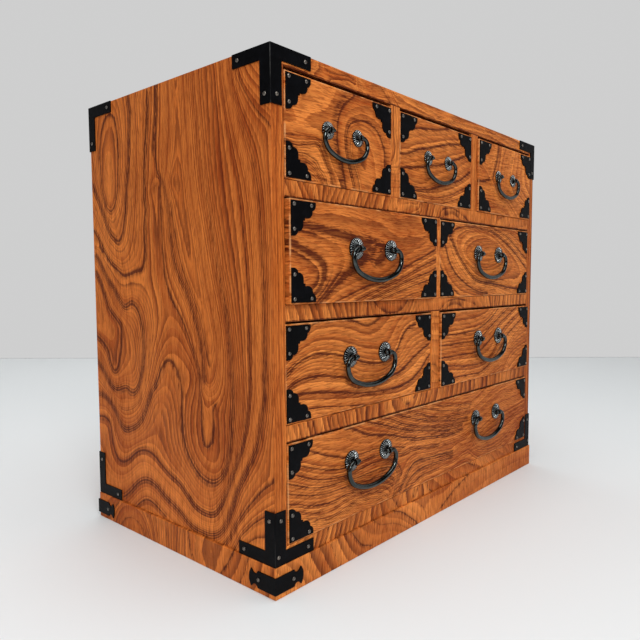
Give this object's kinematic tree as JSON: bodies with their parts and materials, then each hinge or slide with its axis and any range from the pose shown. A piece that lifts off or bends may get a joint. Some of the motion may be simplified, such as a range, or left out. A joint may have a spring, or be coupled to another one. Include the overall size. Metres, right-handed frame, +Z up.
{
  "type": "tansu_chest",
  "caption": "Small Japanese tabletop tansu chest in keyaki wood with iron corner plates, drawers in stacked rows and swinging bail handles.",
  "frame": {"origin": "On the floor, under the centre of the chest's outline with its handles.", "axes": "+Z up, the front faces -Y, +X to the right along the front."},
  "size_m": [0.4632, 0.2786, 0.414],
  "materials": {
    "keyaki": "satin lacquer over a strong ring figure",
    "drawer_wood": "plain planed kiri",
    "black_iron": "matt black sheet iron",
    "forged_iron": "dark worn forged iron"
  },
  "bodies": {
    "case": {"back_panel": "drawer_wood", "bottom_board": "keyaki", "bracket_nails": "black_iron", "case_corner_brackets": "black_iron", "divider_1_left": "keyaki", "divider_1_right": "keyaki", "divider_2": "keyaki", "divider_3": "keyaki", "plinth_back": "keyaki", "plinth_corner_bands": "black_iron", "plinth_front": "keyaki", "plinth_left": "keyaki", "plinth_right": "keyaki", "shelf_lower": "keyaki", "shelf_middle": "keyaki", "shelf_upper": "keyaki", "side_panel_left": "keyaki", "side_panel_right": "keyaki", "top_board": "keyaki"},
    "drawer_1_left": {"drawer_1_left_front": "keyaki", "drawer_1_left_box": "drawer_wood", "drawer_1_left_corner_plates": "black_iron", "drawer_1_left_handle_posts": "forged_iron"},
    "drawer_1_left_bail": {"drawer_1_left_bail": "forged_iron"},
    "drawer_1_centre": {"drawer_1_centre_front": "keyaki", "drawer_1_centre_box": "drawer_wood", "drawer_1_centre_corner_plates": "black_iron", "drawer_1_centre_handle_posts": "forged_iron"},
    "drawer_1_centre_bail": {"drawer_1_centre_bail": "forged_iron"},
    "drawer_1_right": {"drawer_1_right_front": "keyaki", "drawer_1_right_box": "drawer_wood", "drawer_1_right_corner_plates": "black_iron", "drawer_1_right_handle_posts": "forged_iron"},
    "drawer_1_right_bail": {"drawer_1_right_bail": "forged_iron"},
    "drawer_2_left": {"drawer_2_left_front": "keyaki", "drawer_2_left_box": "drawer_wood", "drawer_2_left_corner_plates": "black_iron", "drawer_2_left_handle_posts": "forged_iron"},
    "drawer_2_left_bail": {"drawer_2_left_bail": "forged_iron"},
    "drawer_2_right": {"drawer_2_right_front": "keyaki", "drawer_2_right_box": "drawer_wood", "drawer_2_right_corner_plates": "black_iron", "drawer_2_right_handle_posts": "forged_iron"},
    "drawer_2_right_bail": {"drawer_2_right_bail": "forged_iron"},
    "drawer_3_left": {"drawer_3_left_front": "keyaki", "drawer_3_left_box": "drawer_wood", "drawer_3_left_corner_plates": "black_iron", "drawer_3_left_handle_posts": "forged_iron"},
    "drawer_3_left_bail": {"drawer_3_left_bail": "forged_iron"},
    "drawer_3_right": {"drawer_3_right_front": "keyaki", "drawer_3_right_box": "drawer_wood", "drawer_3_right_corner_plates": "black_iron", "drawer_3_right_handle_posts": "forged_iron"},
    "drawer_3_right_bail": {"drawer_3_right_bail": "forged_iron"},
    "drawer_4": {"drawer_4_front": "keyaki", "drawer_4_box": "drawer_wood", "drawer_4_corner_plates": "black_iron", "drawer_4_handle_posts": "forged_iron"},
    "drawer_4_bail_left": {"drawer_4_bail_left": "forged_iron"},
    "drawer_4_bail_right": {"drawer_4_bail_right": "forged_iron"}
  },
  "joints": [
    {"name": "drawer_1_left_slide", "type": "slide", "parent": "case", "child": "drawer_1_left", "axis": [0, -1, 0], "range_m": [-0.0019, 0.1881]},
    {"name": "drawer_1_left_bail_swing", "type": "hinge", "parent": "drawer_1_left", "child": "drawer_1_left_bail", "pos_m": [-0.14767, -0.13062, 0.3626], "axis": [-1, 0, 0], "range_deg": [-5, 165]},
    {"name": "drawer_1_centre_slide", "type": "slide", "parent": "case", "child": "drawer_1_centre", "axis": [0, -1, 0], "range_m": [-0.0012, 0.1888]},
    {"name": "drawer_1_centre_bail_swing", "type": "hinge", "parent": "drawer_1_centre", "child": "drawer_1_centre_bail", "pos_m": [0, -0.12993, 0.3625], "axis": [-1, 0, 0], "range_deg": [-5, 165]},
    {"name": "drawer_1_right_slide", "type": "slide", "parent": "case", "child": "drawer_1_right", "axis": [0, -1, 0], "range_m": [-0.003, 0.187]},
    {"name": "drawer_1_right_bail_swing", "type": "hinge", "parent": "drawer_1_right", "child": "drawer_1_right_bail", "pos_m": [0.14617, -0.13172, 0.362], "axis": [-1, 0, 0], "range_deg": [-5, 165]},
    {"name": "drawer_2_left_slide", "type": "slide", "parent": "case", "child": "drawer_2_left", "axis": [0, -1, 0], "range_m": [-0.0065, 0.1835]},
    {"name": "drawer_2_left_bail_swing", "type": "hinge", "parent": "drawer_2_left", "child": "drawer_2_left_bail", "pos_m": [-0.112, -0.13633, 0.27], "axis": [-1, 0, 0], "range_deg": [-5, 165]},
    {"name": "drawer_2_right_slide", "type": "slide", "parent": "case", "child": "drawer_2_right", "axis": [0, -1, 0], "range_m": [-0.0012, 0.1888]},
    {"name": "drawer_2_right_bail_swing", "type": "hinge", "parent": "drawer_2_right", "child": "drawer_2_right_bail", "pos_m": [0.1095, -0.13103, 0.2725], "axis": [-1, 0, 0], "range_deg": [-5, 165]},
    {"name": "drawer_3_left_slide", "type": "slide", "parent": "case", "child": "drawer_3_left", "axis": [0, -1, 0], "range_m": [-0.0003, 0.1897]},
    {"name": "drawer_3_left_bail_swing", "type": "hinge", "parent": "drawer_3_left", "child": "drawer_3_left_bail", "pos_m": [-0.1125, -0.13012, 0.1782], "axis": [-1, 0, 0], "range_deg": [-5, 165]},
    {"name": "drawer_3_right_slide", "type": "slide", "parent": "case", "child": "drawer_3_right", "axis": [0, -1, 0], "range_m": [-0.0035, 0.1865]},
    {"name": "drawer_3_right_bail_swing", "type": "hinge", "parent": "drawer_3_right", "child": "drawer_3_right_bail", "pos_m": [0.107, -0.13333, 0.1778], "axis": [-1, 0, 0], "range_deg": [-5, 165]},
    {"name": "drawer_4_slide", "type": "slide", "parent": "case", "child": "drawer_4", "axis": [0, -1, 0], "range_m": [-0.002, 0.188]},
    {"name": "drawer_4_bail_left_swing", "type": "hinge", "parent": "drawer_4", "child": "drawer_4_bail_left", "pos_m": [-0.113, -0.13183, 0.0878], "axis": [-1, 0, 0], "range_deg": [-5, 165]},
    {"name": "drawer_4_bail_right_swing", "type": "hinge", "parent": "drawer_4", "child": "drawer_4_bail_right", "pos_m": [0.1065, -0.13183, 0.0868], "axis": [-1, 0, 0], "range_deg": [-5, 165]}
  ]
}
